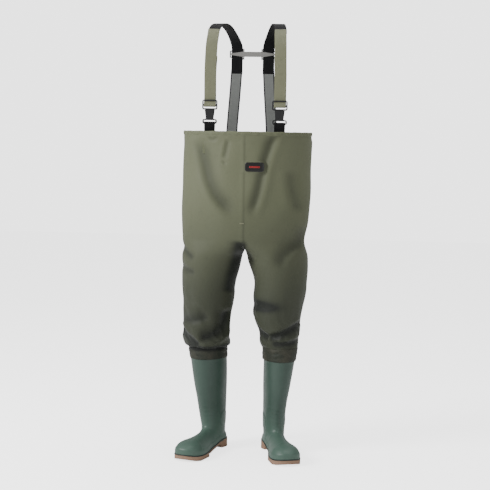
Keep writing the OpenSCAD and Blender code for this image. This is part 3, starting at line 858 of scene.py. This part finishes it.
badge = patch("badge_patch", badge_x, badge_z, 0.062, 0.029, 0.007, 0.0016, 0.0007, PATCH)
mark = patch("badge_mark", badge_x, badge_z, 0.036, 0.006, 0.0028, 0.0005, 0.0026, RED_MARK)
badge = join("chest_patch", [badge, mark])
place(badge, "badge", "bib", "badge")

label = patch("crotch_tag", 0.0, 0.8, 0.015, 0.004, 0.0015, 0.0006, 0.0012, OLIVE_WEB)
place(label, "olive_webbing", "bib")


def hem_roll():
    """The folded top edge: a thin band outside the bib, rolled over its rim."""
    n = 2 * HALF * 2
    t = np.arange(n) * TAU / n
    rings = []
    section = [(-0.0012, -0.0125), (0.0006, -0.0105), (0.0014, -0.007), (0.0018, -0.003), (0.0014, 0.0004),
               (0.0, 0.0016), (-0.0016, 0.0006), (-0.0024, -0.005), (-0.0024, -0.0125)]
    for out, up in section:
        a, b = CHEST_A + out, CHEST_B + out
        ripple = 0.0005 * np.sin(t * 37) + 0.0004 * np.sin(t * 61 + 1)
        z = HEM + up + 0.0005 * np.sin(t * 23)
        rings.append(np.stack([(a + ripple) * np.sin(t), BY - (b + ripple) * np.cos(t), z], 1))
    obj = loft("hem_fold", rings, FABRIC, caps=False)
    paint(obj.data, "seam", np.zeros(len(obj.data.vertices)))
    uv = obj.data.uv_layers.new(name="UVMap")
    data = []
    for poly in obj.data.polygons:
        for v in poly.vertices:
            data += [(v % n) * 0.0045, (v // n) * 0.004]
    uv.data.foreach_set("uv", data)
    return obj


hem = hem_roll()
place(hem, "coated_fabric", "bib", "hem_band")

pieces = split_parts(fabric, {0: "bib_fabric", 1: "left_hip_fabric", 2: "right_hip_fabric",
                              3: "left_knee_fabric", 4: "right_knee_fabric"})
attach(pieces["bib_fabric"], "bib")
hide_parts("left_bib_panel", "right_bib_panel", "front_seam_tape",
            "back_seam_tape", "crotch_tape")
for side, s in SIDES:
    hip, knee = pieces[f"{side}_hip_fabric"], pieces[f"{side}_knee_fabric"]
    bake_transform(hip)
    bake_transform(knee)
    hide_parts(f"{side}_leg")
    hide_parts(f"{side}_cuff")

# ---------- Straps ----------
X, Y = STRAP_X, STRAP_Y
# One half of the tab's loop, up to the socket's bar: distance from the middle, height
TAB = [(0.0012, 1.05), (0.0012, 1.098), (0.0036, 1.12), (0.004, 1.131), (0.0022, 1.1342)]
for side, s in SIDES:
    tab = strap(f"{side}_tab_webbing", mirror_x(
        [(X, Y + y, z) for y, z in TAB] + [(X, Y, 1.135)] + [(X, Y - y, z) for y, z in reversed(TAB)], s),
        BLACK_WEB, width=0.036, step=0.0022)
    place(tab, "black_webbing", "bib", f"{side}_tab")
    elastic = strap(f"{side}_elastic_webbing", mirror_x([
        (0.07, BACK_Y, 1.042), (0.0695, BACK_Y, 1.1), (0.066, BACK_Y, 1.16), (0.0605, BACK_Y, 1.235),
        (0.055, BACK_Y, 1.325)], s), GREY_WEB, sag=0.0003)
    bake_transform(elastic)
    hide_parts(f"{side}_back_anchor", f"{side}_back_elastic")
    shoulder = strap(f"{side}_shoulder_webbing", mirror_x([
        (0.055, BACK_Y - 0.0002, 1.305), (0.055, BACK_Y, 1.35), (0.055, BACK_Y, 1.394),
        (0.059, BACK_Y - 0.006, 1.411),
        (0.068, BACK_Y - 0.024, 1.435), (0.08, BACK_Y - 0.054, 1.457), (0.091, BACK_Y - 0.092, 1.4665),
        (0.1, BACK_Y - 0.13, 1.4655), (0.107, BACK_Y - 0.16, 1.456), (0.112, BACK_Y - 0.182, 1.438),
        (0.1128, BACK_Y - 0.189, 1.428)], s), BLACK_WEB, thick=0.0021,
        across=[(1, 0, 0), (1, 0, 0), (1, 0, 0), (1, s * 0.1, s * 0.1), (1, s * 0.25, s * 0.15),
                (1, s * 0.3, s * 0.1), (1, s * 0.28, 0), (1, s * 0.2, 0), (1, s * 0.08, 0),
                (1, 0, 0), (1, 0, 0)])
    place(shoulder, "black_webbing", "braces", f"{side}_shoulder_strap")
    front = strap(f"{side}_front_webbing", mirror_x([
        (0.1118, BY - 0.0612, 1.4435), (0.1125, BY - 0.0745, 1.425), (0.1145, BY - 0.089, 1.395),
        (0.116, BY - 0.0968, 1.35),
        (X, BY - 0.099, 1.3), (X, BY - 0.097, 1.24), (X, Y + 0.0044, 1.212), (X, Y + 0.0036, 1.206),
        (X, Y - 0.0005, 1.199), (X, Y - 0.0034, 1.1915), (X, Y - 0.0034, 1.1885), (X, Y - 0.0024, 1.1858),
        (X, Y, 1.1846), (X, Y + 0.0024, 1.1858), (X, Y + 0.0036, 1.189), (X, Y + 0.0046, 1.196),
        (X, Y + 0.007, 1.206), (X, Y + 0.0074, 1.214), (X, Y + 0.0062, 1.24), (X, BY - 0.0958, 1.3),
        (X - 0.0025, BY - 0.093, 1.353)], s),
        OLIVE_WEB, step=0.0018)
    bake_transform(front)
    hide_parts(f"{side}_front_strap", f"{side}_strap_tail", f"{side}_strap_fold")

# ---------- Hard parts from the CAD ----------

def finish_cad(node, material, bevel=0.0):
    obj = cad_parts[node]
    obj.data.materials.clear()
    obj.data.materials.append(material)
    if bevel:
        modify(obj, "bevel", "BEVEL", width=bevel, segments=2, limit_method="ANGLE",
               angle_limit=math.radians(35), harden_normals=False)


finish_cad("back_yoke", GREY_PLASTIC, 0.0006)
for side in ("left", "right"):
    for part_name in ("socket", "plug", "prong_outer", "prong_inner"):
        finish_cad(f"{side}_{part_name}", BLACK_PLASTIC, 0.0005)
    for part_name in ("tab_patch", "back_patch"):
        finish_cad(f"{side}_{part_name}", FABRIC, 0.0004)
    for part_name in ("lining", "insole"):
        finish_cad(f"{side}_{part_name}", LINING)
    finish_cad(f"{side}_sole", SOLE, 0.0008)

# ---------- Boots ----------

def sole_top(y):
    return table(y, [(-0.232, 0.022), (-0.205, 0.017), (-0.18, 0.015), (-0.09, 0.015), (-0.045, 0.019),
                     (-0.005, 0.027), (0.072, 0.03)])


TOE_Y, HEEL_Y = -0.2285, 0.068
SHAFT_FOOT, SHAFT_TOP = 0.024, 0.352
# Half width and height of the foot against y
foot_w = [(-0.2285, 0.004), (-0.226, 0.0155), (-0.22, 0.0275), (-0.21, 0.0375), (-0.195, 0.045),
          (-0.175, 0.0485), (-0.15, 0.048), (-0.13, 0.046), (-0.1, 0.04), (-0.075, 0.0355),
          (-0.05, 0.034), (-0.02, 0.0345), (0.01, 0.036), (0.03, 0.0362), (0.045, 0.0325),
          (0.058, 0.023), (0.066, 0.011), (0.068, 0.003)]
foot_h = [(-0.2285, 0.03), (-0.226, 0.04), (-0.218, 0.05), (-0.205, 0.0575), (-0.19, 0.061),
          (-0.165, 0.0635), (-0.14, 0.065), (-0.115, 0.067), (-0.09, 0.07), (-0.07, 0.0745),
          (-0.055, 0.08), (-0.03, 0.087), (0.0, 0.086), (0.04, 0.075), (0.068, 0.06)]
# Height, centre x, centre y, half width and half depth of the shaft, in the boot's own frame
shaft_rows = [(0.024, 0, 0.008, 0.0345, 0.0595), (0.06, 0, 0.008, 0.035, 0.0595),
              (0.1, 0, 0.007, 0.0368, 0.0625), (0.15, 0, 0.006, 0.0378, 0.068),
              (0.19, 0.002, 0.004, 0.0405, 0.0735), (0.22, 0.004, 0.002, 0.044, 0.077),
              (0.29, 0.009, -0.002, 0.051, 0.079), (0.352, 0.0135, -0.0062, 0.0558, 0.0778)]


def shaft_at(z, side):
    """One row of shaft_rows at any height. The wearer's right shaft is fuller on its outer side."""
    cx, cy, a, b = (table(z, [(r[0], r[k]) for r in shaft_rows]) for k in (1, 2, 3, 4))
    full = 0.0055 * smooth((z - 0.06) / 0.09) if side < 0 else 0.0
    return cx + full, cy, a + full, b


def boot_space(p, side):
    """From the boot's own frame to the row frame."""
    p = np.asarray(p, float)
    c, s = math.cos(TOE_OUT), math.sin(TOE_OUT)
    x = ANKLE[0] + p[:, 0] * c - p[:, 1] * s
    y = ANKLE[1] + p[:, 0] * s + p[:, 1] * c
    return np.stack([side * x, y, p[:, 2]], 1)


def boot_upper(side):
    rings = []
    for z in np.linspace(SHAFT_FOOT, SHAFT_TOP, 60):
        cx, cy, a, b = shaft_at(z, side)
        rings.append(ellipse(cx, cy, z, a, b, 64))
    shaft = loft("shaft", rings)
    rings = []
    ys = np.concatenate([np.linspace(TOE_Y, -0.205, 10), np.linspace(-0.2, 0.045, 44),
                         np.linspace(0.05, HEEL_Y, 8)])
    t = np.linspace(0, math.pi, 41)
    for y in ys:
        w, h, low = table(y, foot_w), table(y, foot_h), sole_top(y)
        e = 2 / (2.7 - 0.8 * smooth((y + 0.19) / 0.07))  # square at the toe, rounder over the instep
        x = w * np.sign(np.cos(t)) * np.abs(np.cos(t)) ** e
        z = low + 0.001 + (h - low) * np.sin(t) ** e
        upper = np.stack([x, np.full(len(t), y), z], 1)
        under = np.stack([np.linspace(-w, w, 11)[1:-1], np.full(9, y), np.full(9, low)], 1)
        rings.append(np.vstack([upper, under]))
    foot = loft("foot", rings)
    for o in (shaft, foot):
        o.data.flip_normals()
        bpy.context.view_layer.update()
    both = join(side_name(side) + "_boot_upper", [shaft, foot])
    modify(both, "melt", "REMESH", mode="VOXEL", voxel_size=0.0024)
    modify(both, "soften", "SMOOTH", factor=0.5, iterations=10)
    apply_modifiers(both)
    # A wider hollow where the foot meets the shaft
    at = coords(both.data)
    near = smooth((0.06 - np.abs(at[:, 2] - 0.098)) / 0.03) * smooth((-0.015 - at[:, 1]) / 0.02)
    weigh(both, "ankle", near)
    modify(both, "instep", "SMOOTH", factor=0.5, iterations=220, vertex_group="ankle")
    apply_modifiers(both)
    mesh = both.data
    p, n = coords(mesh), vertex_normals(mesh)
    over = p[:, 2] - sole_top(p[:, 1])
    # Rand round the foot, toe cap, ankle guard and shin bars, all moulded in
    rand = smooth((0.02 + 0.006 * smooth((-0.17 - p[:, 1]) / 0.04) - over) / 0.003) * 0.0012
    cap_edge = -0.168 - 0.9 * np.abs(p[:, 0]) ** 1.2
    cap = smooth((cap_edge - p[:, 1] + 0.02) / 0.0035) * (over > 0.015) * 0.0007
    arch = np.exp(-((p[:, 1] + 0.066 + 0.35 * (p[:, 2] - 0.1)) / 0.0035) ** 2)
    arch = arch * (over > 0.024) * (p[:, 2] < 0.105) * 0.0005
    guard = smooth((0.03 - np.hypot((p[:, 1] - 0.016) * 0.9, p[:, 2] - 0.105)) / 0.003) * 0.0011
    collar = smooth((p[:, 2] - 0.316) / 0.003) * 0.0008
    soft = noise_field(p * [1, 1, 0.6], 30, 60 + side) * 0.0009 * smooth((p[:, 2] - 0.1) / 0.06)
    crease = np.zeros(len(p))
    for zc in (0.128, 0.143, 0.158):
        line = np.exp(-((p[:, 2] - zc - 0.15 * p[:, 1]) / 0.0045) ** 2)
        crease -= line * smooth((-p[:, 1] - 0.01) / 0.03) * 0.0004
    p = p + n * (rand + cap + arch + guard + collar + soft + crease)[:, None]
    # The moulding's rim is open
    p = boot_space(p, side)
    keep = [f for f in mesh.polygons
            if min(p[v][2] for v in f.vertices) < BOOT_TOP + 0.001 or abs(f.normal.z) < 0.6]
    used = {}
    faces = []
    for f in keep:
        ids = [used.setdefault(v, len(used)) for v in f.vertices]
        faces.append(ids if side > 0 else ids[::-1])
    name = both.name
    bpy.data.objects.remove(both)
    return make(name, p[list(used)], faces, BOOT)


def welt(side):
    """Dark line where the upper meets the sole."""
    ys = np.concatenate([np.linspace(HEEL_Y, -0.2, 60), np.linspace(-0.203, TOE_Y, 14)])
    right = [(table(y, foot_w), y) for y in ys]
    outline = np.array(right + [(-x, y) for x, y in right[::-1]])
    closed = np.vstack([outline, outline[:1]])
    along = arc_length(closed)
    where = np.linspace(0, along[-1], 241)[:-1]
    ring = np.stack([np.interp(where, along, closed[:, k]) for k in range(2)], 1)
    for _ in range(3):
        ring = (np.roll(ring, 1, 0) + 2 * ring + np.roll(ring, -1, 0)) / 4
    way = np.roll(ring, -1, 0) - np.roll(ring, 1, 0)
    out = np.stack([way[:, 1], -way[:, 0]], 1)
    out /= np.linalg.norm(out, axis=1)[:, None]
    if (out * ring).sum() < 0:
        out = -out
    zs = sole_top(ring[:, 1])
    rings = []
    for o, up in ((-0.003, 0.0002), (0.0022, 0.0002), (0.003, 0.0012), (0.0026, 0.003),
                  (0.0012, 0.0042), (-0.003, 0.005)):
        r = ring + out * o
        rings.append(boot_space(np.column_stack([r, zs + up]), side))
    return loft(side_name(side) + "_welt", rings, WELT, caps=False)


def boot_band(side):
    """Fabric strip welded round the boot's top, puckered."""
    n = 160
    rings = []
    for z in np.linspace(BOOT_TOP - 0.022, LEG_END + 0.004, 16):
        up = (z - BOOT_TOP + 0.022) / (LEG_END + 0.026 - BOOT_TOP)
        cx, cy, a, b = shaft_at(z, side)
        clear = 0.0026 + 0.0008 * up
        ring = ellipse(cx, cy, z, a + clear, b + clear, n)
        t = np.arange(n) * TAU / n
        pucker = 0.0006 * np.sin(up * 17 + 1.6 * np.sin(t * 2 + side) + 0.8 * np.sin(t * 5))
        pucker = pucker * (1 + 0.7 * np.sin(t * 3 + side)) * min(1, up * 3)
        ring[:, 0] += pucker * np.cos(t) + 0.0007 * np.sin(t * 11 + up * 5) * np.cos(t) * up
        ring[:, 1] += pucker * np.sin(t)
        rings.append(boot_space(ring, side))
    obj = loft(side_name(side) + "_band_fabric", rings, BAND, caps=False)
    modify(obj, "thick", "SOLIDIFY", thickness=0.0009, offset=1)
    apply_modifiers(obj)
    if side < 0:  # the fabric hangs over this band and shades its top
        # painted shadow: the crease attribute darkens the band's top below the overhang
        paint(obj.data, "crease", smooth((coords(obj.data)[:, 2] - 0.347) / 0.011))
    return obj


def band_material():
    n = Nodes("boot_band")
    base = n.mix((0.037, 0.037, 0.026), (0.02, 0.024, 0.017), n.ramp(n.noise(30.0, 3), 0.35, 0.7))
    # Painted shadow: the crease attribute darkens the band where the fabric overhangs it
    base = n.mix(base, (0.004, 0.005, 0.004), n.node("Attribute", 2, _attribute_name="crease"))
    n.bumps((n.noise(60.0, 4, 0.6, stretch=(1, 1, 3)), 0.25, 0.002), (n.noise(300.0, 3), 0.12, 0.0005))
    return n.set(Base__Color=base, Roughness=0.6, Specular__IOR__Level=0.25)


BAND = band_material()
for side, s in SIDES:
    upper = boot_upper(s)
    edge = welt(s)
    upper = join(f"{side}_boot_upper", [upper, edge])
    place(upper, "boot_pvc", f"{side}_shin", f"{side}_boot")
    band = boot_band(s)
    place(band, "coated_fabric", f"{side}_shin", f"{side}_band")

# ---------- Floor, light and camera ----------

def plain(name, colour):
    m = bpy.data.materials.new(name)
    m.use_nodes = True
    b = m.node_tree.nodes["Principled BSDF"]
    b.inputs["Base Color"].default_value = (*colour, 1)
    b.inputs["Roughness"].default_value = 0.9
    b.inputs["Specular IOR Level"].default_value = 0.1
    return m


def camera_glow(tree, shader, strength):
    """Adds white light seen only by the camera, so the studio reads as one pale sweep."""
    path = tree.nodes.new("ShaderNodeLightPath")
    glow = tree.nodes.new("ShaderNodeEmission")
    times = tree.nodes.new("ShaderNodeMath")
    times.operation = "MULTIPLY"
    times.inputs[1].default_value = strength
    tree.links.new(path.outputs["Is Camera Ray"], times.inputs[0])
    tree.links.new(times.outputs[0], glow.inputs["Strength"])
    add = tree.nodes.new("ShaderNodeAddShader")
    tree.links.new(shader, add.inputs[0])
    tree.links.new(glow.outputs[0], add.inputs[1])
    return add.outputs[0]


def pale_floor():
    m = plain("floor", (0.9, 0.9, 0.9))
    tree = m.node_tree
    out = camera_glow(tree, tree.nodes["Principled BSDF"].outputs[0], 2.3)
    tree.links.new(out, tree.nodes["Material Output"].inputs["Surface"])
    return m


floor = make("floor", [(-9, -9, 0), (9, -9, 0), (9, 9, 0), (-9, 9, 0)], [(0, 1, 2, 3)], pale_floor())

world = bpy.data.worlds.new("studio")
bpy.context.scene.world = world
world.use_nodes = True
background = world.node_tree.nodes["Background"]
background.inputs[0].default_value = (1, 1, 1, 1)
background.inputs[1].default_value = 0.5
sky = camera_glow(world.node_tree, background.outputs[0], 2.4)
world.node_tree.links.new(sky, world.node_tree.nodes["World Output"].inputs["Surface"])


def area_light(name, at, aim, size, power):
    light = bpy.data.lights.new(name, "AREA")
    light.size = size
    light.energy = power
    obj = bpy.data.objects.new(name, light)
    obj.location = at
    obj.rotation_euler = (Vector(aim) - Vector(at)).to_track_quat("-Z", "Y").to_euler()
    link(obj)


area_light("key", (-3.0, -1.9, 2.5), (0, 0, 0.85), 1.3, 175)
area_light("fill", (2.8, -2.6, 1.4), (0, 0, 0.7), 2.0, 22)
area_light("top", (0.2, 0.3, 3.4), (0, 0, 1.0), 1.6, 45)

aim = Vector((-0.0025, BY, 0.717))
azimuth = math.radians(6.5)
distance = 4.3
CAMERA_HEIGHT = 1.1
CAMERA_ROLL = math.radians(1.0)
cam = bpy.data.cameras.new("camera")
cam.sensor_width = 36
cam.lens = 92.5
cam_obj = bpy.data.objects.new("camera", cam)
cam_obj.location = (aim.x + distance * math.sin(azimuth), aim.y - distance * math.cos(azimuth), CAMERA_HEIGHT)
look = (aim - cam_obj.location).to_track_quat("-Z", "Y")
cam_obj.rotation_euler = (look @ Quaternion((0, 0, 1), CAMERA_ROLL)).to_euler()
link(cam_obj)
bpy.context.scene.camera = cam_obj
